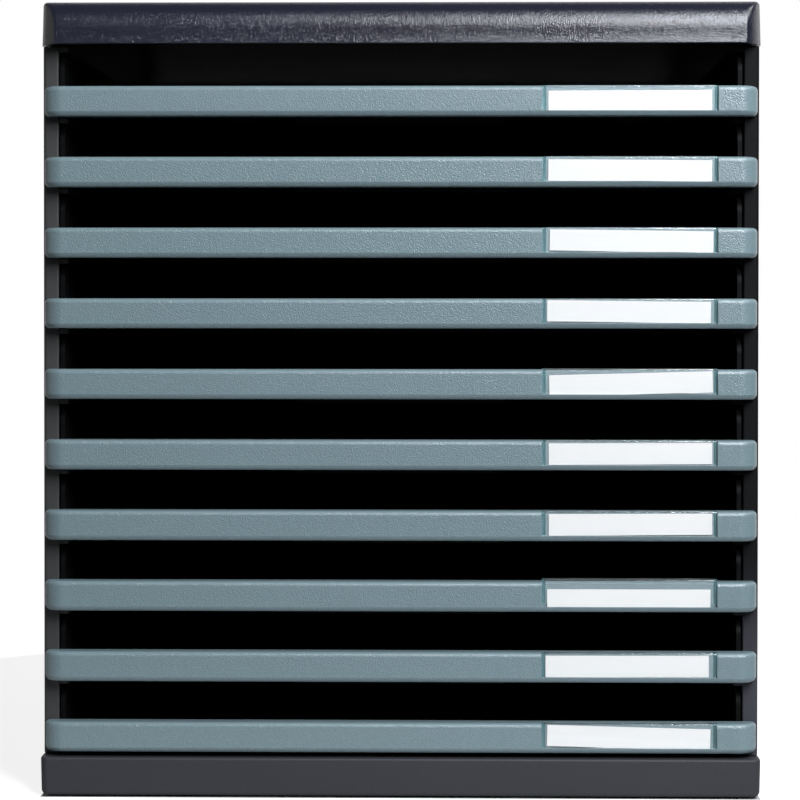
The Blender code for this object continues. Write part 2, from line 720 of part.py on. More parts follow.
def build_tray():
    """Open tray: coved floor, high sides, low front, runners and stops."""
    obj = tray_block(0.0, TRAY_FRONT_Y, TRAY_BOTTOM, TRAY_TOP, TRAY_NOSE_RADIUS)
    join(obj, scoop_block(0.0, 0.0))
    inside_front = TRAY_FRONT_Y + TRAY_WALL
    cut(obj, tray_block(TRAY_WALL, inside_front, TRAY_FLOOR_TOP, TRAY_TOP + CUT_OVERRUN, 0.0))
    cut(obj, scoop_block(TRAY_WALL, TRAY_WALL))
    cut(obj, boxes("front", [((-TRAY_INNER_X, TRAY_FRONT_Y - CUT_OVERRUN, TRAY_FRONT_TOP),
                              (TRAY_INNER_X, inside_front + CUT_OVERRUN,
                               TRAY_TOP + CUT_OVERRUN))]))
    for low, high in tray_additions():
        join(obj, boxes("added", [(low, high)]))
    join(obj, strut_bars())
    return obj


def place_copy(source, name, collection, location, turn=0.0):
    """Place a copy that shares the source's mesh."""
    obj = bpy.data.objects.new(name, source.data)
    obj.location = location
    obj.rotation_euler = (0.0, turn, 0.0)
    collection.objects.link(obj)
    return obj


def card_place(index, height):
    """Where one drawer's card lies in its pocket."""
    top = RAIL_HEIGHT - WINDOW_FOLD
    play = top - CARD_SLOT_FLOOR - CARD_HEIGHT
    reach = CARD_WIDTH / 2 * math.sin(math.radians(abs(CARD_TILTS[index])))
    lift = min(reach + CARD_LIFT_SHARES[index] * CARD_HEIGHT, play - reach)
    x = POCKET_OFFSET + CARD_SHIFT_SHARES[index] * CARD_SIDE_PLAY
    z = height + CARD_SLOT_FLOOR + CARD_HEIGHT / 2 + max(lift, reach)
    return (x, RAIL_FRONT_Y + CARD_SET_BACK + CARD_THICKNESS / 2, z)


def build_drawers(finishes, collection):
    """Build one drawer's pieces, then place a copy of each per drawer."""
    tray = finish_object(build_tray(), "tray_source", finishes["tray"], collection)
    rail = finish_object(build_rail(), "rail_source", finishes["rail"], collection)
    window = finish_object(build_window(), "window_source", finishes["window"], collection)
    card = finish_object(build_card(), "card_source", finishes["card"], collection)
    spare = FOLD_SEAT_DEPTH - WINDOW_FOLD
    for number in range(1, DRAWER_COUNT + 1):
        index = (number - 1) % len(CARD_TILTS)
        height = rail_bottom(number)
        lift = WINDOW_LIFT_SHARES[index] * RAIL_EDGE_RADIUS
        place_copy(tray, f"tray_{number:02d}", collection, (0.0, 0.0, height))
        place_copy(rail, f"front_rail_{number:02d}", collection, (0.0, 0.0, height))
        place_copy(window, f"label_window_{number:02d}", collection,
                   (POCKET_OFFSET, 0.0, height + lift + spare / 4))
        place_copy(card, f"label_card_{number:02d}", collection, card_place(index, height),
                   -math.radians(CARD_TILTS[index]))
    for source in (tray, rail, window, card):
        bpy.data.objects.remove(source, do_unlink=True)


def build_housing(finishes, collection):
    """Build the plinth, cover, panels and feet."""
    finish_object(build_plinth(), "base_plinth", finishes["housing"], collection)
    finish_object(build_cover(), "top_cover", finishes["housing"], collection,
                  (0.0, 0.0, COVER_BOTTOM_Z))
    finish_object(build_side_panel(-1), "side_panel_left", finishes["housing"], collection,
                  (-PANEL_OUTER_X, 0.0, PANEL_BOTTOM_Z))
    finish_object(build_side_panel(1), "side_panel_right", finishes["housing"], collection,
                  (PANEL_OUTER_X, 0.0, PANEL_BOTTOM_Z))
    finish_object(build_back_panel(), "back_panel", finishes["housing"], collection,
                  (0.0, BACK_REAR_Y, PANEL_BOTTOM_Z))
    names = ("foot_front_left", "foot_front_right", "foot_rear_left", "foot_rear_right")
    for name, place in zip(names, foot_places()):
        finish_object(build_foot(place), name, finishes["rubber"], collection, (*place, 0.0))


def main():
    """Model the whole unit."""
    clear_scene()
    collection = bpy.data.collections.new("desktop_drawer_unit")
    bpy.context.scene.collection.children.link(collection)
    finishes = {name: make_finish(name) for name in FINISHES}
    build_housing(finishes, collection)
    build_drawers(finishes, collection)


main()
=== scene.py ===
"""Looks of a desktop drawer unit: grained housing, ten blue-grey rails, clear label windows.

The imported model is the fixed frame. Pieces with soft edges are worked out here as numpy
surfaces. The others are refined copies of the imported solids, with fine edge rounds.
"""

import logging
import math
from dataclasses import dataclass
from enum import Enum

import bmesh
import bpy
import numpy as np
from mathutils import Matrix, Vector


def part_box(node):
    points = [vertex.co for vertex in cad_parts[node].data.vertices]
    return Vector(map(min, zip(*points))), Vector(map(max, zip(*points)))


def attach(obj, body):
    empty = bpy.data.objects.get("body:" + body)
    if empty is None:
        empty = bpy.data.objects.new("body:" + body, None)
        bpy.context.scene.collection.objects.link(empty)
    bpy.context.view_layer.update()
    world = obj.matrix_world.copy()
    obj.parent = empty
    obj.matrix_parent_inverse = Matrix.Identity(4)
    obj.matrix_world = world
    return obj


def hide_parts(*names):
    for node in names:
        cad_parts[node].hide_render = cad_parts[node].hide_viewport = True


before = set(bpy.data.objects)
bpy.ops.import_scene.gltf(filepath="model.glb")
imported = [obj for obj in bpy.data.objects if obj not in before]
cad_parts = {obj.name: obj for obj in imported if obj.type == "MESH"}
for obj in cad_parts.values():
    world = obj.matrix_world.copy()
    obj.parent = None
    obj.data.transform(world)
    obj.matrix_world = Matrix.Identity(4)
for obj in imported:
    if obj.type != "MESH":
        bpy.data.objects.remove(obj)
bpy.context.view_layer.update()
LOG = logging.getLogger("drawer_unit")
DRAWERS = range(1, 11)

# Points closer than this, in metres, are one point
WELD = 1e-6

# Side panels and trays: y of their front edges, which take painted light or painted shade, and the height
# over which painted_low_light's painted light fades
FRONT_EDGE = -0.1642
LOW_FADE = (0.045, 0.100)

# Mould grain: shares of dome, coarse and fine in its height, and their cells per grain cell
GRAIN_SHARES = (0.6, 0.15, 0.8)
COARSE_CELLS = 0.4
FINE_CELLS = 1.1
CELL_SOFTNESS = 0.6
SPECK_RANGE = (0.45, 0.72)

# Slow tone: cells per metre, and how much a speck of the grain lightens the colour
DRIFT_CELLS = 22.0
SPECK_TONE = 0.06

# Handling marks: cells per metre
MARK_CELLS = 95.0


class Slot(Enum):
    """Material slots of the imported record."""

    HOUSING = "housing"
    TRAY = "tray"
    RAIL = "rail"
    WINDOW = "window"
    CARD = "card"
    RUBBER = "rubber"


class Effect(Enum):
    """Shader node groups that several finishes share."""

    GRAIN = "moulded_grain"
    DRIFT = "tone_drift"
    DUST = "handling_dust"


# Shader groups


def add_socket(group: bpy.types.NodeTree, name: str, way: str, kind: str, value: object = None) -> None:
    """Add one named socket to a shader group.

    Args:
        group: The group's node tree.
        name: The socket's name.
        way: INPUT or OUTPUT.
        kind: Short socket type, such as Float, Color or Vector.
        value: The input's starting value, if it has one.
    """
    socket = group.interface.new_socket(name=name, in_out=way, socket_type=f"NodeSocket{kind}")
    if value is not None:
        socket.default_value = value


def new_group(effect: Effect) -> tuple[bpy.types.NodeTree, bpy.types.Node, bpy.types.Node]:
    """Start an empty shader group.

    Args:
        effect: Which shared effect the group makes.

    Returns:
        The group with its input and output nodes.
    """
    group = bpy.data.node_groups.new(effect.value, "ShaderNodeTree")
    return group, group.nodes.new("NodeGroupInput"), group.nodes.new("NodeGroupOutput")


def maths(tree: bpy.types.NodeTree, operation: str, first: object, second: object) -> bpy.types.NodeSocket:
    """Add a Math node.

    Args:
        tree: The node tree.
        operation: The node's operation.
        first: A socket or a number.
        second: A socket or a number.

    Returns:
        The result's socket.
    """
    node = tree.nodes.new("ShaderNodeMath")
    node.operation = operation
    for index, value in enumerate((first, second)):
        if isinstance(value, bpy.types.NodeSocket):
            tree.links.new(value, node.inputs[index])
        else:
            node.inputs[index].default_value = value
    return node.outputs[0]


def noise(tree: bpy.types.NodeTree, vector: bpy.types.NodeSocket, scale: object, detail: float,
          rough: float = 0.5) -> bpy.types.NodeSocket:
    """Add a noise texture.

    Args:
        tree: The node tree.
        vector: Where the texture is read.
        scale: Cells per metre, as a number or a socket.
        detail: Octaves.
        rough: Weight of each next octave.

    Returns:
        The noise value's socket.
    """
    node = tree.nodes.new("ShaderNodeTexNoise")
    node.inputs["Detail"].default_value = detail
    node.inputs["Roughness"].default_value = rough
    tree.links.new(vector, node.inputs["Vector"])
    if isinstance(scale, bpy.types.NodeSocket):
        tree.links.new(scale, node.inputs["Scale"])
    else:
        node.inputs["Scale"].default_value = scale
    return node.outputs["Fac"]


def build_grain() -> bpy.types.NodeTree:
    """Build the spark-eroded mould grain: rounded cells broken up by fine noise.

    Height = a (1 - distance) + b coarse + c fine, with the shares of GRAIN_SHARES.

    Returns:
        The group, with Vector and Cells inputs and Height and Speck outputs.
    """
    group, start, end = new_group(Effect.GRAIN)
    add_socket(group, "Vector", "INPUT", "Vector")
    add_socket(group, "Cells", "INPUT", "Float", 2400.0)
    add_socket(group, "Height", "OUTPUT", "Float")
    add_socket(group, "Speck", "OUTPUT", "Float")
    cells = group.nodes.new("ShaderNodeTexVoronoi")
    cells.feature = "SMOOTH_F1"
    cells.inputs["Smoothness"].default_value = CELL_SOFTNESS
    place, scale = start.outputs["Vector"], start.outputs["Cells"]
    group.links.new(place, cells.inputs["Vector"])
    group.links.new(scale, cells.inputs["Scale"])
    dome = maths(group, "SUBTRACT", 1.0, cells.outputs["Distance"])
    coarse = noise(group, place, maths(group, "MULTIPLY", scale, COARSE_CELLS), 1.0)
    fine = noise(group, place, maths(group, "MULTIPLY", scale, FINE_CELLS), 1.0)
    parts = [maths(group, "MULTIPLY", part, share)
             for part, share in zip((dome, coarse, fine), GRAIN_SHARES)]
    height = maths(group, "ADD", maths(group, "ADD", parts[0], parts[1]), parts[2])
    group.links.new(height, end.inputs["Height"])
    ramp = group.nodes.new("ShaderNodeMapRange")
    ramp.inputs["From Min"].default_value, ramp.inputs["From Max"].default_value = SPECK_RANGE
    group.links.new(coarse, ramp.inputs["Value"])
    group.links.new(ramp.outputs["Result"], end.inputs["Speck"])
    return group


def build_drift() -> bpy.types.NodeTree:
    """Build the slow change of tone that a moulding shows over a few centimetres, plus painted light or
    painted shade from the Lift input.

    Returns:
        The group, with Vector, Colour, Amount, Speck and Lift inputs and a Colour output.
    """
    group, start, end = new_group(Effect.DRIFT)
    add_socket(group, "Vector", "INPUT", "Vector")
    add_socket(group, "Colour", "INPUT", "Color", (0.2, 0.2, 0.2, 1.0))
    add_socket(group, "Amount", "INPUT", "Float", 0.1)
    add_socket(group, "Speck", "INPUT", "Float", 0.0)
    add_socket(group, "Lift", "INPUT", "Float", 0.0)
    add_socket(group, "Colour", "OUTPUT", "Color")
    slow = noise(group, start.outputs["Vector"], DRIFT_CELLS, 3.0)
    swing = maths(group, "MULTIPLY", maths(group, "SUBTRACT", slow, 0.5), start.outputs["Amount"])
    swing = maths(group, "ADD", swing, maths(group, "MULTIPLY", start.outputs["Speck"], SPECK_TONE))
    # Lift adds painted light or painted shade to the tone
    swing = maths(group, "ADD", swing, start.outputs["Lift"])
    tone = group.nodes.new("ShaderNodeHueSaturation")
    group.links.new(maths(group, "ADD", swing, 1.0), tone.inputs["Value"])
    group.links.new(start.outputs["Colour"], tone.inputs["Color"])
    group.links.new(tone.outputs["Color"], end.inputs["Colour"])
    return group


def build_dust() -> bpy.types.NodeTree:
    """Build the faint handling marks that change a plastic's roughness.

    Returns:
        The group, with Vector, Base and Spread inputs and a Roughness output.
    """
    group, start, end = new_group(Effect.DUST)
    add_socket(group, "Vector", "INPUT", "Vector")
    add_socket(group, "Base", "INPUT", "Float", 0.5)
    add_socket(group, "Spread", "INPUT", "Float", 0.08)
    add_socket(group, "Roughness", "OUTPUT", "Float")
    marks = noise(group, start.outputs["Vector"], MARK_CELLS, 4.0, 0.6)
    swing = maths(group, "MULTIPLY", maths(group, "SUBTRACT", marks, 0.5), start.outputs["Spread"])
    group.links.new(maths(group, "ADD", start.outputs["Base"], swing), end.inputs["Roughness"])
    return group


@dataclass
class EffectShelf:
    """The shared shader groups, each built once."""

    groups: dict

    @classmethod
    def build(cls) -> "EffectShelf":
        """Build every shared group and return the shelf that holds them."""
        return cls({Effect.GRAIN: build_grain(), Effect.DRIFT: build_drift(), Effect.DUST: build_dust()})

    def place(self, tree: bpy.types.NodeTree, effect: Effect) -> bpy.types.Node:
        """Place a shared effect in a material.

        Args:
            tree: The material's node tree.
            effect: Which effect.

        Returns:
            The group node.
        """
        node = tree.nodes.new("ShaderNodeGroup")
        node.node_tree = self.groups[effect]
        return node


@dataclass(frozen=True)
class PlasticFinish:
    """A moulded plastic: colour, gloss and the mould's grain.

    The front edges, at y below FRONT_EDGE, carry painted light or painted shade by painted_front_light,
    and their lowest stretch more painted light or painted shade by painted_low_light, fading out over
    LOW_FADE of height.
    """

    name: str
    colour: tuple
    roughness: float
    gloss_spread: float
    specular: float
    grain_cells: float
    grain_height: float
    drift: float
    painted_front_light: float = 0.0
    painted_low_light: float = 0.0

    def build(self, shelf: EffectShelf) -> bpy.types.Material:
        """Make the material.

        Args:
            shelf: The shared shader groups.

        Returns:
            The material.
        """
        material = bpy.data.materials.new(self.name)
        material.use_nodes = True
        material.diffuse_color = (*self.colour, 1.0)
        tree = material.node_tree
        shader = tree.nodes["Principled BSDF"]
        place = tree.nodes.new("ShaderNodeTexCoord").outputs["Object"]
        grain = shelf.place(tree, Effect.GRAIN)
        grain.inputs["Cells"].default_value = self.grain_cells
        tree.links.new(place, grain.inputs["Vector"])
        drift = shelf.place(tree, Effect.DRIFT)
        drift.inputs["Colour"].default_value = (*self.colour, 1.0)
        drift.inputs["Amount"].default_value = self.drift
        tree.links.new(place, drift.inputs["Vector"])
        tree.links.new(grain.outputs["Speck"], drift.inputs["Speck"])
        # Painted light or painted shade on the front edges, set per finish and fading with height
        if self.painted_front_light:
            split = tree.nodes.new("ShaderNodeSeparateXYZ")
            tree.links.new(place, split.inputs["Vector"])
            painted_front = maths(tree, "LESS_THAN", split.outputs["Y"], FRONT_EDGE)
            low = tree.nodes.new("ShaderNodeMapRange")
            low.interpolation_type = "SMOOTHSTEP"
            low.inputs["From Min"].default_value, low.inputs["From Max"].default_value = LOW_FADE
            low.inputs["To Min"].default_value = self.painted_front_light + self.painted_low_light
            low.inputs["To Max"].default_value = self.painted_front_light
            tree.links.new(split.outputs["Z"], low.inputs["Value"])
            tree.links.new(maths(tree, "MULTIPLY", painted_front, low.outputs["Result"]), drift.inputs["Lift"])
        dust = shelf.place(tree, Effect.DUST)
        dust.inputs["Base"].default_value = self.roughness
        dust.inputs["Spread"].default_value = self.gloss_spread
        tree.links.new(place, dust.inputs["Vector"])
        bump = tree.nodes.new("ShaderNodeBump")
        bump.inputs["Strength"].default_value = 1.0
        bump.inputs["Distance"].default_value = self.grain_height
        tree.links.new(grain.outputs["Height"], bump.inputs["Height"])
        tree.links.new(drift.outputs["Colour"], shader.inputs["Base Color"])
        tree.links.new(dust.outputs["Roughness"], shader.inputs["Roughness"])
        tree.links.new(bump.outputs["Normal"], shader.inputs["Normal"])
        shader.inputs["Specular IOR Level"].default_value = self.specular
        return material


@dataclass(frozen=True)
class ClearFinish:
    """Clear moulded plastic that lets the lamps reach what lies behind it.

    Beyond half on both sides of middle, along x, its thicker ends take edge_colour: partly the thicker
    plastic's tint, partly painted shade of the ends' refraction.
    """

    name: str
    colour: tuple
    edge_colour: tuple
    middle: float
    half: float
    roughness: float
    index: float
    view_alpha: float = 0.4

    def build(self, shelf: EffectShelf) -> bpy.types.Material:
        """Make the material.

        Args:
            shelf: The shared shader groups.

        Returns:
            The material.
        """
        material = bpy.data.materials.new(self.name)
        material.use_nodes = True
        material.diffuse_color = (*self.colour, self.view_alpha)
        tree = material.node_tree
        shader = tree.nodes["Principled BSDF"]
        output = tree.nodes["Material Output"]
        shader.inputs["Transmission Weight"].default_value = 1.0
        shader.inputs["IOR"].default_value = self.index
        place = tree.nodes.new("ShaderNodeTexCoord").outputs["Object"]
        split = tree.nodes.new("ShaderNodeSeparateXYZ")
        tree.links.new(place, split.inputs["Vector"])
        away = maths(tree, "ABSOLUTE", maths(tree, "SUBTRACT", split.outputs["X"], self.middle), 0.0)
        # Painted shade on the window's ends, partly the thicker plastic's tint
        tint = tree.nodes.new("ShaderNodeMix")
        tint.data_type = "RGBA"
        tree.links.new(maths(tree, "GREATER_THAN", away, self.half), tint.inputs["Factor"])
        tint.inputs["A"].default_value = (*self.colour, 1.0)
        tint.inputs["B"].default_value = (*self.edge_colour, 1.0)
        tree.links.new(tint.outputs["Result"], shader.inputs["Base Color"])
        dust = shelf.place(tree, Effect.DUST)
        dust.inputs["Base"].default_value = self.roughness
        dust.inputs["Spread"].default_value = self.roughness
        tree.links.new(place, dust.inputs["Vector"])
        tree.links.new(dust.outputs["Roughness"], shader.inputs["Roughness"])
        path = tree.nodes.new("ShaderNodeLightPath")
        clear = tree.nodes.new("ShaderNodeBsdfTransparent")
        mix = tree.nodes.new("ShaderNodeMixShader")
        either = maths(tree, "MAXIMUM", path.outputs["Is Shadow Ray"], path.outputs["Is Diffuse Ray"])
        tree.links.new(either, mix.inputs["Fac"])
        tree.links.new(shader.outputs["BSDF"], mix.inputs[1])
        tree.links.new(clear.outputs["BSDF"], mix.inputs[2])
        tree.links.new(mix.outputs["Shader"], output.inputs["Surface"])
        return material


@dataclass(frozen=True)
class PaperFinish:
    """Uncoated white card with fine fibres that run along it."""

    name: str
    colour: tuple
    roughness: float
    fibre_cells: float
    fibre_height: float
    fibre_stretch: tuple = (0.35, 1.0, 1.6)
    drift: float = 0.03
    specular: float = 0.25

    def build(self, shelf: EffectShelf) -> bpy.types.Material:
        """Make the material.

        Args:
            shelf: The shared shader groups.

        Returns:
            The material.
        """
        material = bpy.data.materials.new(self.name)
        material.use_nodes = True
        material.diffuse_color = (*self.colour, 1.0)
        tree = material.node_tree
        shader = tree.nodes["Principled BSDF"]
        place = tree.nodes.new("ShaderNodeTexCoord").outputs["Object"]
        stretch = tree.nodes.new("ShaderNodeMapping")
        stretch.inputs["Scale"].default_value = self.fibre_stretch
        tree.links.new(place, stretch.inputs["Vector"])
        fibre = noise(tree, stretch.outputs["Vector"], self.fibre_cells, 3.0, 0.6)
        drift = shelf.place(tree, Effect.DRIFT)
        drift.inputs["Colour"].default_value = (*self.colour, 1.0)
        drift.inputs["Amount"].default_value = self.drift
        tree.links.new(place, drift.inputs["Vector"])
        bump = tree.nodes.new("ShaderNodeBump")
        bump.inputs["Distance"].default_value = self.fibre_height
        tree.links.new(fibre, bump.inputs["Height"])
        tree.links.new(drift.outputs["Colour"], shader.inputs["Base Color"])
        tree.links.new(bump.outputs["Normal"], shader.inputs["Normal"])
        shader.inputs["Roughness"].default_value = self.roughness
        shader.inputs["Specular IOR Level"].default_value = self.specular
        return material


HOUSING = PlasticFinish(
    name="grained_housing", colour=(0.0080, 0.0092, 0.0200), roughness=0.22, gloss_spread=0.04,
    specular=0.85, grain_cells=1900.0, grain_height=0.00015, drift=0.16)
PLINTH = PlasticFinish(
    name="matte_plinth", colour=(0.026, 0.026, 0.031), roughness=0.58, gloss_spread=0.10,
    specular=0.45, grain_cells=2400.0, grain_height=0.00006, drift=0.12)
# The side panels are lit and shaded copies of one black plastic: painted light on the left front strips,
# painted shade on the right ones with painted light near the floor
PANEL_LEFT = PlasticFinish(
    name="panel_left", colour=(0.016, 0.016, 0.016), roughness=0.55, gloss_spread=0.08,
    specular=0.4, grain_cells=2400.0, grain_height=0.00005, drift=0.10, painted_front_light=1.6)
PANEL_RIGHT = PlasticFinish(
    name="panel_right", colour=(0.016, 0.016, 0.019), roughness=0.62, gloss_spread=0.08,
    specular=0.12, grain_cells=2400.0, grain_height=0.00005, drift=0.10, painted_front_light=-0.8, painted_low_light=2.6)
# The back panel is darker than the side panels as painted shade of the closed interior
BACK = PlasticFinish(
    name="back_black", colour=(0.006, 0.006, 0.0065), roughness=0.55, gloss_spread=0.08,
    specular=0.4, grain_cells=2400.0, grain_height=0.00005, drift=0.10)
# The trays' front ends carry painted shade
TRAY = PlasticFinish(
    name="tray_black", colour=(0.0045, 0.0045, 0.005), roughness=0.55, gloss_spread=0.12,
    specular=0.1, grain_cells=3200.0, grain_height=0.00002, drift=0.20, painted_front_light=-0.7)
RAIL = PlasticFinish(
    name="blue_grey_rail", colour=(0.160, 0.224, 0.245), roughness=0.30, gloss_spread=0.08,
    specular=0.8, grain_cells=2000.0, grain_height=0.00014, drift=0.05)
RUBBER = PlasticFinish(
    name="foot_rubber", colour=(0.015, 0.015, 0.016), roughness=0.85, gloss_spread=0.06,
    specular=0.3, grain_cells=4200.0, grain_height=0.00002, drift=0.15)
WINDOW = ClearFinish(
    name="clear_window", colour=(0.99, 1.0, 1.0), edge_colour=(0.46, 0.66, 0.67), middle=0.0912,
    half=0.0333, roughness=0.03, index=1.49)
CARD = PaperFinish(
    name="white_card", colour=(0.785, 0.772, 0.760), roughness=0.75, fibre_cells=5200.0,
    fibre_height=0.000012)
FINISHES = (HOUSING, PLINTH, PANEL_LEFT, PANEL_RIGHT, BACK, TRAY, RAIL, RUBBER, WINDOW, CARD)


# Mesh helpers


def ring_quads(rings: int, count: int) -> np.ndarray:
    """Number the quads between closed rings of points, by index = ring * count + place.

    Args:
        rings: How many rings.
        count: Points in each ring.

    Returns:
        An array of quads.
    """
    row = np.arange(rings - 1)[:, None] * count
    here = np.arange(count)[None, :]
    after = (here + 1) % count
    above = row + count
    return np.stack([row + here, row + after, above + after, above + here], axis=-1).reshape(-1, 4)


def rings_mesh(name: str, rings: np.ndarray) -> bpy.types.Mesh:
    """Skin a stack of closed rings and cap its first and last ring.

    Args:
        name: The mesh's name.
        rings: Points, as rings by places by three coordinates.

    Returns:
        A closed mesh with its faces pointing outwards.
    """
    rows, count = rings.shape[:2]
    faces = ring_quads(rows, count).tolist()
    faces.append(list(range(count))[::-1])
    faces.append(list(range((rows - 1) * count, rows * count)))
    mesh = bpy.data.meshes.new(name)
    mesh.from_pydata(rings.reshape(-1, 3).tolist(), [], faces)
    weld(mesh)
    return mesh


def weld(mesh: bpy.types.Mesh, flat_degrees: float = 0.0) -> None:
    """Merge a mesh's coincident points and turn its faces outwards.

    Args:
        mesh: The mesh to mend.
        flat_degrees: Above zero, edges between faces this flat are dissolved too.
    """
    bm = bmesh.new()
    bm.from_mesh(mesh)
    bmesh.ops.remove_doubles(bm, verts=bm.verts, dist=WELD)
    bmesh.ops.dissolve_degenerate(bm, edges=bm.edges, dist=WELD)
    if flat_degrees > 0:
        bmesh.ops.dissolve_limit(bm, angle_limit=math.radians(flat_degrees), verts=bm.verts, edges=bm.edges)
    bmesh.ops.recalc_face_normals(bm, faces=bm.faces)
    bm.to_mesh(mesh)
    bm.free()


def place_piece(name: str, mesh: bpy.types.Mesh, material: bpy.types.Material, body: str,
                sharp_degrees: float = 36.0) -> bpy.types.Object:
    """Make a piece from a mesh and let it ride on a body.

    Args:
        name: The piece's name.
        mesh: Its mesh, in place.
        material: Its finish.
        body: The body that carries it.
        sharp_degrees: Edges steeper than this stay sharp.

    Returns:
        The piece.
    """
    piece = bpy.data.objects.new(name, mesh)
    bpy.context.scene.collection.objects.link(piece)
    mesh.materials.clear()
    mesh.materials.append(material)
    mesh.shade_smooth()
    mesh.set_sharp_from_angle(angle=math.radians(sharp_degrees))
    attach(piece, body)
    LOG.info("%s rides on %s, %d faces", name, body, len(mesh.polygons))
    return piece


def plan_loop(low: tuple, high: tuple, front: tuple, rear: tuple, steps: int,
              power: float = 1.0) -> np.ndarray:
    """Walk round a rectangle with rounded corners.

    A corner point is centre + (a cos^p t, b sin^p t), with a and b the corner's half-sizes.
    The power p is 1 at the rear. Above 1 it straightens the front corners.

    Args:
        low: Lowest x and y.
        high: Highest x and y.
        front: Half-sizes of the two front corners, along x and y.
        rear: Half-sizes of the two rear corners.
        steps: Points on each corner, less one.
        power: The front corners' power p.

    Returns:
        Points as an array of x and y, the same number for every size.
    """
    turn = np.linspace(0.0, math.pi / 2, steps + 1)
    corners = []
    for quarter, (a, b), x, y in ((0, rear, high[0], high[1]), (1, rear, low[0], high[1]),
                                  (2, front, low[0], low[1]), (3, front, high[0], low[1])):
        angle = turn + quarter * math.pi / 2
        bend = power if quarter > 1 else 1.0
        across = math.copysign(a, math.cos(angle.mean()))
        along = math.copysign(b, math.sin(angle.mean()))
        corners.append(np.stack([x - across + across * np.abs(np.cos(angle)) ** bend,
                                 y - along + along * np.abs(np.sin(angle)) ** bend], axis=-1))
    return np.concatenate(corners)


def level_ring(loop: np.ndarray, height: float) -> np.ndarray:
    """Lift a plan loop to one height and return its points."""
    return np.concatenate([loop, np.full((len(loop), 1), height)], axis=1)


# Refined copies


@dataclass
class RefinedNode:
    """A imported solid's welded copy with its small edges rounded."""

    node: str
    edge: float
    slot: Slot
    flat_degrees: float = 0.15
    edge_degrees: float = 42.0
    edge_steps: int = 2

    def build(self) -> bpy.types.Mesh:
        """Copy and weld the solid's mesh and return the copy."""
        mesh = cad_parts[self.node].data.copy()
        mesh.name = f"{self.node}_fine"
        weld(mesh, self.flat_degrees)
        return mesh

    def dress(self, body: str, material: bpy.types.Material) -> bpy.types.Object:
        """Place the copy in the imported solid's stead.

        Args:
            body: The body that carries it.
            material: Its finish.

        Returns:
            The piece.
        """
        piece = place_piece(f"{self.node}_fine", self.build(), material, body)
        bevel = piece.modifiers.new("edges", "BEVEL")
        bevel.width = self.edge
        bevel.segments = self.edge_steps
        bevel.limit_method = "ANGLE"
        bevel.angle_limit = math.radians(self.edge_degrees)
        bevel.use_clamp_overlap = True
        weighted = piece.modifiers.new("flat_faces", "WEIGHTED_NORMAL")
        weighted.keep_sharp = True
        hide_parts(self.node)
        return piece


# Housing


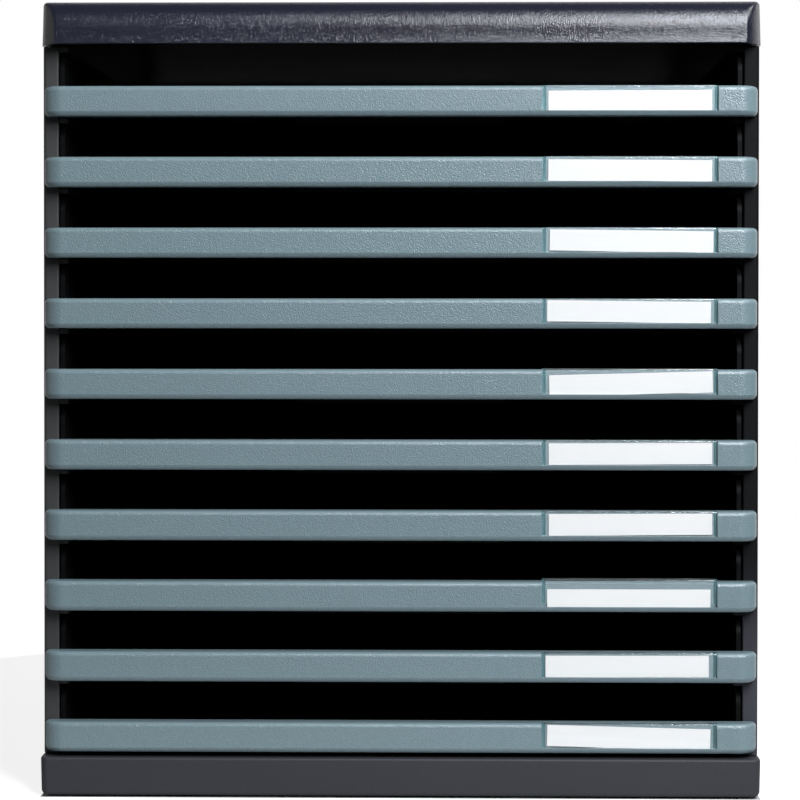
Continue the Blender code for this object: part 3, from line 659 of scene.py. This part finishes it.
@dataclass
class Cover:
    """The grained cover: a hollow moulding whose front is crowned back to its top."""

    wall: float = 0.0024
    crown_start: float = 0.006
    crown_depth: float = 0.0105
    side_draft: float = 0.0005
    side_round: float = 0.0014
    lip_round: float = 0.0004
    flare: float = 0.0003
    flare_height: float = 0.005
    lean_share: float = 0.45
    corner: tuple = (0.0072, 0.0125)
    corner_steps: int = 30
    corner_power: float = 1.5
    crease: float = 0.0026
    seat_gap: float = 0.0003
    sharp_degrees: float = 50.0
    crown_rings: int = 25
    band_rings: int = 8
    lip_rings: int = 3

    def outside(self, low: Vector, high: Vector) -> list[np.ndarray]:
        """Work out the outer rings, from the lip to the top.

        The band's front inset = flare (1 - (1 - h / H)^2) up to the flare's height H. The
        crown adds depth (1 - cos t) at height = start + (full - start) sin t. The side
        inset = draft h / full, plus r - sqrt(r^2 - rise^2) over the last r of height.

        Args:
            low: The cover's lowest corner.
            high: Its highest corner.

        Returns:
            The rings.
        """
        full = high.z - low.z
        turns = np.linspace(0.0, math.pi / 2, self.crown_rings)
        band = np.linspace(self.lip_round, self.crown_start, self.band_rings + 1)[:-1]
        heights = np.concatenate([band, self.crown_start + (full - self.crown_start) * np.sin(turns)])
        fronts = self.flare * (1.0 - np.clip(1.0 - heights / self.flare_height, 0.0, 1.0) ** 2)
        fronts[len(band):] += self.crown_depth * (1.0 - np.cos(turns))
        start = np.linspace(0.0, math.pi / 2, self.lip_rings + 1)[:-1]
        lip_heights = self.lip_round * (1.0 - np.cos(start))
        lip_insets = self.lip_round * (1.0 - np.sin(start))
        rings = [self.ring(low, high, inset, inset, height)
                 for inset, height in zip(lip_insets, lip_heights)]
        for front, height in zip(fronts, heights):
            rise = max(height - (full - self.side_round), 0.0)
            turn_in = self.side_round - math.sqrt(max(self.side_round ** 2 - rise ** 2, 0.0))
            rings.append(self.ring(low, high, front, self.side_draft * height / full + turn_in, height))
        return rings

    def ring(self, low: Vector, high: Vector, front: float, side: float, height: float) -> np.ndarray:
        """Make one ring of the outside: the plan's corners, cut off by the front's line.

        Near their meeting, y = max(plan, front) + (k - |plan - front|)^2 / (4 k), so the
        mitre between crown and corner is a soft one.

        Args:
            low: The cover's lowest corner.
            high: Its highest corner.
            front: How far the front lies back.
            side: How far sides and rear lie in.
            height: Height over the lip.

        Returns:
            The ring's points.
        """
        loop = plan_loop((low.x + side, low.y), (high.x - side, high.y - side),
                         self.corner, self.corner, self.corner_steps, self.corner_power)
        soft = max(min(self.crease, front), WELD)
        apart = np.abs(loop[:, 1] - low.y - front)
        blend = np.maximum(soft - apart, 0.0) ** 2 / (4.0 * soft)
        loop[:, 1] = np.maximum(loop[:, 1], low.y + front) + blend
        return level_ring(loop, low.z + height)

    def build(self) -> bpy.types.Mesh:
        """Skin the outside, the lip and the hollow and return the mesh."""
        low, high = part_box("top_cover")
        low.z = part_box("side_panel_left")[1].z + self.seat_gap
        full = high.z - low.z
        inner = (self.corner[0] - self.wall, self.corner[1] - self.wall)
        inset = self.wall + self.side_draft
        rings = []
        for height in (full - self.wall, 0.0):
            lean = self.crown_depth * self.lean_share if height > 0 else 0.0
            loop = plan_loop((low.x + inset, low.y + self.wall + lean), (high.x - inset, high.y - inset),
                             inner, inner, self.corner_steps, self.corner_power)
            rings.append(level_ring(loop, low.z + height))
        rings += self.outside(low, high)
        return rings_mesh("top_cover_fine", np.stack(rings))

    def dress(self, material: bpy.types.Material) -> bpy.types.Object:
        """Place the cover with its finish and return the piece."""
        piece = place_piece("top_cover_fine", self.build(), material, "housing",
                            self.sharp_degrees)
        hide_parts("top_cover")
        return piece


@dataclass
class Foot:
    """A pressed-in rubber foot with a shallow dish in its sole.

    The shares of the radius are the dish's middle and rim, and the hollow in the foot's top.
    """

    sides: int = 40
    edge: float = 0.0007
    edge_steps: int = 5
    dish: float = 0.0003
    dish_shares: tuple = (0.35, 0.6)
    rim_depth_share: float = 0.8
    land_edges: float = 1.4
    top_share: float = 0.4

    def build(self, node: str) -> bpy.types.Mesh:
        """Turn the foot's profile about its axis: point = centre + (r cos t, r sin t, z).

        Args:
            node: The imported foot.

        Returns:
            The mesh.
        """
        low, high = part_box(node)
        centre = (low + high) / 2
        radius = (high.x - low.x) / 2
        tall = high.z - low.z
        bend = np.linspace(0.0, math.pi / 2, self.edge_steps + 1)
        sole = [radius * share for share in self.dish_shares] + [radius - self.edge * self.land_edges]
        radii = np.concatenate([sole, radius - self.edge + self.edge * np.sin(bend),
                                [radius, radius * self.top_share]])
        heights = np.concatenate([[self.dish, self.dish * self.rim_depth_share, 0.0],
                                  self.edge - self.edge * np.cos(bend), [tall, tall]])
        turn = np.linspace(0.0, 2 * math.pi, self.sides, endpoint=False)
        levels = np.broadcast_to(low.z + heights[:, None], (len(radii), self.sides))
        rings = np.stack([centre.x + radii[:, None] * np.cos(turn),
                          centre.y + radii[:, None] * np.sin(turn), levels], axis=-1)
        return rings_mesh(f"{node}_fine", rings)

    def dress(self, node: str, material: bpy.types.Material) -> bpy.types.Object:
        """Place one foot.

        Args:
            node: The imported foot.
            material: Its finish.

        Returns:
            The piece.
        """
        piece = place_piece(f"{node}_fine", self.build(node), material, "housing")
        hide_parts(node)
        return piece


@dataclass
class Housing:
    """The fixed carcass: cover, plinth, side panels, back and feet."""

    cover: Cover
    foot: Foot
    edge: float = 0.00025

    def dress(self, finishes: dict) -> None:
        """Build and place every piece of the carcass.

        Args:
            finishes: The built materials by finish name.
        """
        self.cover.dress(finishes[HOUSING.name])
        RefinedNode("base_plinth", self.edge, Slot.HOUSING).dress("housing", finishes[PLINTH.name])
        plain = {"side_panel_left": PANEL_LEFT, "side_panel_right": PANEL_RIGHT, "back_panel": BACK}
        for node, finish in plain.items():
            RefinedNode(node, self.edge, Slot.HOUSING).dress("housing", finishes[finish.name])
        for node in ("foot_front_left", "foot_front_right", "foot_rear_left", "foot_rear_right"):
            self.foot.dress(node, finishes[RUBBER.name])


# Drawers


# Points on the rear of a rail's plan, before its right corner starts
REAR_POINTS = 6


@dataclass
class FrontRail:
    """A blue-grey rail with soft edges, rounded ends and a recess for the label."""

    edge: float = 0.0018
    edge_steps: int = 6
    foot_rise: float = 0.0019
    foot_depth: float = 0.0013
    foot_power: float = 1.45
    corner: tuple = (0.0078, 0.0076)
    corner_steps: int = 14
    face: float = 0.0032
    wall: float = 0.002
    side_wall: float = 0.0024
    lip: float = 0.002
    recess: float = 0.0019
    slot_floor: float = 0.0006
    slot_depth: float = 0.0008
    slot_inset: float = 0.00115
    seat_drop: float = 0.0008
    seat_depth: float = 0.0042
    window_gap: float = 0.00015
    sharp_degrees: float = 40.0

    def outline(self, low: Vector, high: Vector, inset: float, window: tuple) -> np.ndarray:
        """Walk round the rail's plan with doubled points where the recess and channel start.

        Args:
            low: The rail's lowest corner.
            high: Its highest corner.
            inset: How far the edge round draws the front in.
            window: Lowest and highest x of the label recess.

        Returns:
            Points as x and y: rear left, channel, rear right, right corner, recess, left corner.
        """
        half_x, half_y = self.corner
        turn = np.linspace(0.0, math.pi / 2, self.corner_steps + 1)
        right_x = high.x - half_x + (half_x - inset) * np.cos(turn)
        right_y = low.y + half_y - (half_y - inset) * np.sin(turn)
        right = np.stack([right_x, right_y], axis=-1)
        left = np.stack([low.x + high.x - right_x[::-1], right_y[::-1]], axis=-1)
        front = low.y + inset
        a, b = window
        step = self.slot_inset
        middle = np.array([(x, front) for x in (b, b, b - step, b - step, a + step, a + step, a, a)])
        channel = high.x - self.side_wall
        rear = np.array([(low.x + inset, high.y), (-channel, high.y), (-channel, high.y),
                         (channel, high.y), (channel, high.y), (high.x - inset, high.y)])
        return np.concatenate([rear, right, middle, left])

    def build(self, number: int) -> bpy.types.Mesh:
        """Stack rings from underside to top; a ring's points may step back or down for a recess.

        The upper edge's inset = e (1 - sin t) at height e (1 - cos t) from the top. The lower
        edge's inset = d (1 - sin^p t) at height r (1 - cos^p t), close to a slanted face.

        Args:
            number: The drawer's number.

        Returns:
            The mesh.
        """
        low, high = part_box(f"front_rail_{number:02d}")
        window_low, window_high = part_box(f"label_window_{number:02d}")
        window = (window_low.x - self.window_gap, window_high.x + self.window_gap)
        tall = high.z - low.z
        start = REAR_POINTS + self.corner_steps + 1
        pocket = slice(start + 1, start + 7)
        slot = slice(start + 3, start + 5)
        channel = slice(2, 4)
        bend = np.linspace(0.0, math.pi / 2, self.edge_steps + 1)
        insets = self.edge * (1.0 - np.sin(bend))
        rises = self.edge * (1.0 - np.cos(bend))
        foot_insets = self.foot_depth * (1.0 - np.sin(bend) ** self.foot_power)
        foot_rises = self.foot_rise * (1.0 - np.clip(np.cos(bend), 0.0, 1.0) ** self.foot_power)
        rings = []

        def ring(inset: float, height: float, front: float = 0.0, deep: float = 0.0, down: float = 0.0,
                 back: bool = False) -> None:
            """Add one ring.

            Args:
                inset: The edge round's inset.
                height: Height over the underside.
                front: How far the recess lies behind the rail's face.
                deep: How far the card slot lies behind it.
                down: The slot's height, if it isn't the ring's.
                back: Whether the rear channel is cut.
            """
            points = level_ring(self.outline(low, high, inset, window), low.z + height)
            if front > 0:
                points[pocket, 1] = low.y + front
            if deep > 0:
                points[slot, 1] = low.y + deep
                points[slot, 2] = low.z + down
            if back:
                points[channel, 1] = low.y + self.face
            rings.append(points)

        for inset, rise in zip(foot_insets, foot_rises):
            ring(inset, rise)
        front_of_slot = self.recess - self.slot_depth
        ring(0.0, self.lip)
        ring(0.0, self.lip, back=True)
        ring(0.0, self.lip, front_of_slot, back=True)
        ring(0.0, self.lip, front_of_slot, front_of_slot, self.slot_floor, back=True)
        ring(0.0, self.lip, self.recess, self.recess, self.slot_floor, back=True)
        ring(0.0, self.lip, self.recess, back=True)
        ring(0.0, tall - self.wall, self.recess, back=True)
        ring(0.0, tall - self.wall, self.recess)
        seat = tall - self.seat_drop
        above = [(inset, tall - rise) for inset, rise in zip(insets[::-1], rises[::-1])]
        for inset, height in [pair for pair in above if pair[1] < seat]:
            ring(inset, height, self.recess)
        run = self.edge - (tall - seat)
        at_seat = self.edge - math.sqrt(max(self.edge ** 2 - run ** 2, 0.0))
        ring(at_seat, seat, self.recess)
        ring(at_seat, seat, self.seat_depth)
        for inset, height in [pair for pair in above if pair[1] > seat]:
            ring(inset, height, self.seat_depth)
        return rings_mesh(f"front_rail_{number:02d}_fine", np.stack(rings))

    def dress(self, number: int, material: bpy.types.Material) -> bpy.types.Object:
        """Place one rail.

        Args:
            number: The drawer's number.
            material: Its finish.

        Returns:
            The piece.
        """
        name = f"front_rail_{number:02d}"
        piece = place_piece(f"{name}_fine", self.build(number), material, f"drawer_{number:02d}",
                            self.sharp_degrees)
        weighted = piece.modifiers.new("flat_faces", "WEIGHTED_NORMAL")
        weighted.keep_sharp = True
        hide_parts(name)
        return piece


@dataclass
class LabelCard:
    """A loose paper card with a very slight bow along its length."""

    bow: float = 0.00012
    columns: int = 48
    rows: int = 6
    sharp_degrees: float = 40.0

    def build(self, node: str) -> bpy.types.Mesh:
        """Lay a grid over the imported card: point = centre + u long + v tall + w thick.

        The bow moves a point forwards by bow (1 - u^2), with u from -1 to 1.

        Args:
            node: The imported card.

        Returns:
            A closed mesh.
        """
        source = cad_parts[node].data
        points = np.zeros(len(source.vertices) * 3)
        source.vertices.foreach_get("co", points)
        points = np.unique(points.reshape(-1, 3).round(7), axis=0)
        centre = points.mean(0)
        axes = np.linalg.svd(points - centre)[2]
        axes = axes * np.sign(axes[[0, 1, 2], [0, 2, 1]])[:, None]
        half = np.abs((points - centre) @ axes.T).max(0)
        u = np.linspace(-1.0, 1.0, self.columns)
        rise = np.linspace(-1.0, 1.0, self.rows)
        loop_v = np.concatenate([rise, np.linspace(1.0, -1.0, self.rows)])
        loop_w = np.concatenate([np.full(self.rows, -1.0), np.full(self.rows, 1.0)])
        long = u[:, None, None] * half[0] * axes[0]
        tall = loop_v[None, :, None] * half[1] * axes[1]
        thick = loop_w[None, :, None] * half[2] * axes[2]
        bow = self.bow * (1.0 - u ** 2)[:, None, None] * np.array([0.0, -1.0, 0.0])
        return rings_mesh(f"{node}_fine", centre + long + tall + thick + bow)

    def dress(self, number: int, material: bpy.types.Material) -> bpy.types.Object:
        """Place one card.

        Args:
            number: The drawer's number.
            material: Its finish.

        Returns:
            The piece.
        """
        node = f"label_card_{number:02d}"
        piece = place_piece(f"{node}_fine", self.build(node), material, f"drawer_{number:02d}",
                            self.sharp_degrees)
        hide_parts(node)
        return piece


@dataclass
class Drawer:
    """One sliding drawer: tray, rail, window and card."""

    number: int
    rail: FrontRail
    card: LabelCard
    tray_edge: float = 0.0003
    window_edge: float = 0.00018

    def dress(self, finishes: dict) -> None:
        """Build and place the drawer's pieces.

        Args:
            finishes: The built materials by finish name.
        """
        body = f"drawer_{self.number:02d}"
        RefinedNode(f"tray_{self.number:02d}", self.tray_edge, Slot.TRAY).dress(body, finishes[TRAY.name])
        self.rail.dress(self.number, finishes[RAIL.name])
        RefinedNode(f"label_window_{self.number:02d}", self.window_edge,
                    Slot.WINDOW).dress(body, finishes[WINDOW.name])
        self.card.dress(self.number, finishes[CARD.name])


# Studio


@dataclass
class Lamp:
    """A soft box aimed at a point."""

    name: str
    place: tuple
    aim: tuple
    size: tuple
    power: float
    colour: tuple = (1.0, 1.0, 1.0)

    def build(self) -> bpy.types.Object:
        """Make the lamp and return it."""
        light = bpy.data.lights.new(self.name, "AREA")
        light.shape = "RECTANGLE"
        light.size, light.size_y = self.size
        light.energy = self.power
        light.color = self.colour
        lamp = bpy.data.objects.new(self.name, light)
        lamp.location = self.place
        lamp.rotation_euler = (Vector(self.aim) - Vector(self.place)).to_track_quat("-Z", "Y").to_euler()
        bpy.context.scene.collection.objects.link(lamp)
        return lamp


LAMPS = (
    Lamp("key_upper_right", place=(0.41, -0.98, 0.84), aim=(0.02, -0.175, 0.18), size=(0.34, 0.80),
         power=19.6, colour=(0.91, 0.95, 1.0)),
    Lamp("corner_right", place=(0.73, -0.37, 0.96), aim=(0.143, -0.17, 0.31), size=(0.34, 0.34), power=3.5),
    Lamp("wall_left", place=(-0.95, -0.10, 0.30), aim=(0.0, -0.10, 0.20), size=(1.1, 1.1), power=0.9),
)


@dataclass
class Studio:
    """Camera, floor, world and lamps.

    The world shows glossy rays its white background where their direction lies along
    rim_way, in x and y, by rim_range. Elsewhere they get the low even light, fill.
    """

    camera_place: tuple = (0.0187, -1.175, 0.187)
    pitch: float = -0.844
    yaw: float = 1.003
    roll: float = -0.045
    lens: float = 113.47
    sensor: float = 36.0
    clip: tuple = (0.01, 50.0)
    shift: tuple = (-0.0036, -0.0430)
    fill: float = 0.08
    rim_way: tuple = (0.20, 0.98)
    rim_range: tuple = (0.64, 0.85)
    floor_radius: float = 0.34
    floor_shares: tuple = (0.1, 0.6, 1.0)
    floor_sides: int = 96
    floor_grey: float = 0.5
    floor_roughness: float = 0.8
    floor_glow: float = 0.82
    foot_half: tuple = (0.1435, 0.1745)

    def camera(self) -> None:
        """Set the camera at the photograph's view."""
        data = bpy.data.cameras.new("view")
        data.sensor_width = self.sensor
        data.lens = self.lens
        data.shift_x, data.shift_y = self.shift
        data.clip_start, data.clip_end = self.clip
        camera = bpy.data.objects.new("view", data)
        camera.location = self.camera_place
        camera.rotation_euler = [math.radians(turn) for turn in (90.0 + self.pitch, self.roll, self.yaw)]
        bpy.context.scene.collection.objects.link(camera)
        bpy.context.scene.camera = camera

    def floor(self) -> None:
        """Lay the pale floor: a disc, point = (r cos t, r sin t, 0).

        Camera rays see it glow, except under the unit, so it meets the white background.
        """
        turn = np.linspace(0.0, 2 * math.pi, self.floor_sides, endpoint=False)
        radii = np.array(self.floor_shares) * self.floor_radius
        rings = np.stack([radii[:, None] * np.cos(turn), radii[:, None] * np.sin(turn),
                          np.zeros((len(radii), len(turn)))], axis=-1)
        mesh = bpy.data.meshes.new("floor")
        faces = ring_quads(len(radii), len(turn)).tolist() + [list(range(len(turn)))]
        mesh.from_pydata(rings.reshape(-1, 3).tolist(), [], faces)
        material = bpy.data.materials.new("pale_floor")
        material.use_nodes = True
        tree = material.node_tree
        shader = tree.nodes["Principled BSDF"]
        shader.inputs["Base Color"].default_value = (*[self.floor_grey] * 3, 1.0)
        shader.inputs["Roughness"].default_value = self.floor_roughness
        shader.inputs["Emission Color"].default_value = (1.0, 1.0, 1.0, 1.0)
        path = tree.nodes.new("ShaderNodeLightPath")
        split = tree.nodes.new("ShaderNodeSeparateXYZ")
        tree.links.new(tree.nodes.new("ShaderNodeTexCoord").outputs["Object"], split.inputs["Vector"])
        out = [maths(tree, "DIVIDE", maths(tree, "ABSOLUTE", split.outputs[axis], 0.0), half)
               for axis, half in zip("XY", self.foot_half)]
        open_floor = maths(tree, "GREATER_THAN", maths(tree, "MAXIMUM", *out), 1.0)
        glow = maths(tree, "MULTIPLY", path.outputs["Is Camera Ray"], self.floor_glow)
        glow = maths(tree, "MULTIPLY", glow, open_floor)
        tree.links.new(glow, shader.inputs["Emission Strength"])
        mesh.materials.append(material)
        piece = bpy.data.objects.new("floor", mesh)
        bpy.context.scene.collection.objects.link(piece)

    def world(self) -> None:
        """Give the world its white background and a low even light."""
        world = bpy.data.worlds.new("studio")
        bpy.context.scene.world = world
        world.use_nodes = True
        tree = world.node_tree
        back = tree.nodes["Background"]
        back.inputs["Color"].default_value = (1.0, 1.0, 1.0, 1.0)
        path = tree.nodes.new("ShaderNodeLightPath")
        side = tree.nodes.new("ShaderNodeSeparateXYZ")
        tree.links.new(tree.nodes.new("ShaderNodeTexCoord").outputs["Generated"], side.inputs["Vector"])
        behind = tree.nodes.new("ShaderNodeMapRange")
        behind.inputs["From Min"].default_value, behind.inputs["From Max"].default_value = self.rim_range
        behind.inputs["To Min"].default_value = self.fill
        behind.inputs["To Max"].default_value = 1.0
        way = maths(tree, "ADD", maths(tree, "MULTIPLY", side.outputs["X"], self.rim_way[0]),
                    maths(tree, "MULTIPLY", side.outputs["Y"], self.rim_way[1]))
        tree.links.new(way, behind.inputs["Value"])
        glossy = maths(tree, "MULTIPLY", path.outputs["Is Glossy Ray"], behind.outputs["Result"])
        seen = maths(tree, "MAXIMUM", path.outputs["Is Camera Ray"], path.outputs["Is Transmission Ray"])
        level = maths(tree, "MAXIMUM", maths(tree, "MAXIMUM", seen, glossy), self.fill)
        tree.links.new(level, back.inputs["Strength"])

    def build(self) -> None:
        """Set up the whole studio."""
        bpy.context.scene.view_settings.view_transform = "Standard"
        self.camera()
        self.floor()
        self.world()
        for lamp in LAMPS:
            lamp.build()
            LOG.info("lamp %s", lamp.name)


def build_finishes() -> dict:
    """Build each finish once and return the materials by name."""
    shelf = EffectShelf.build()
    return {item.name: item.build(shelf) for item in FINISHES}


def main() -> None:
    """Build the studio, the housing and the ten drawers."""
    logging.basicConfig(level=logging.INFO, format="%(name)s: %(message)s")
    Studio().build()
    finishes = build_finishes()
    Housing(Cover(), Foot()).dress(finishes)
    rail, card = FrontRail(), LabelCard()
    for number in DRAWERS:
        Drawer(number, rail, card).dress(finishes)


if __name__ == "__main__":
    main()
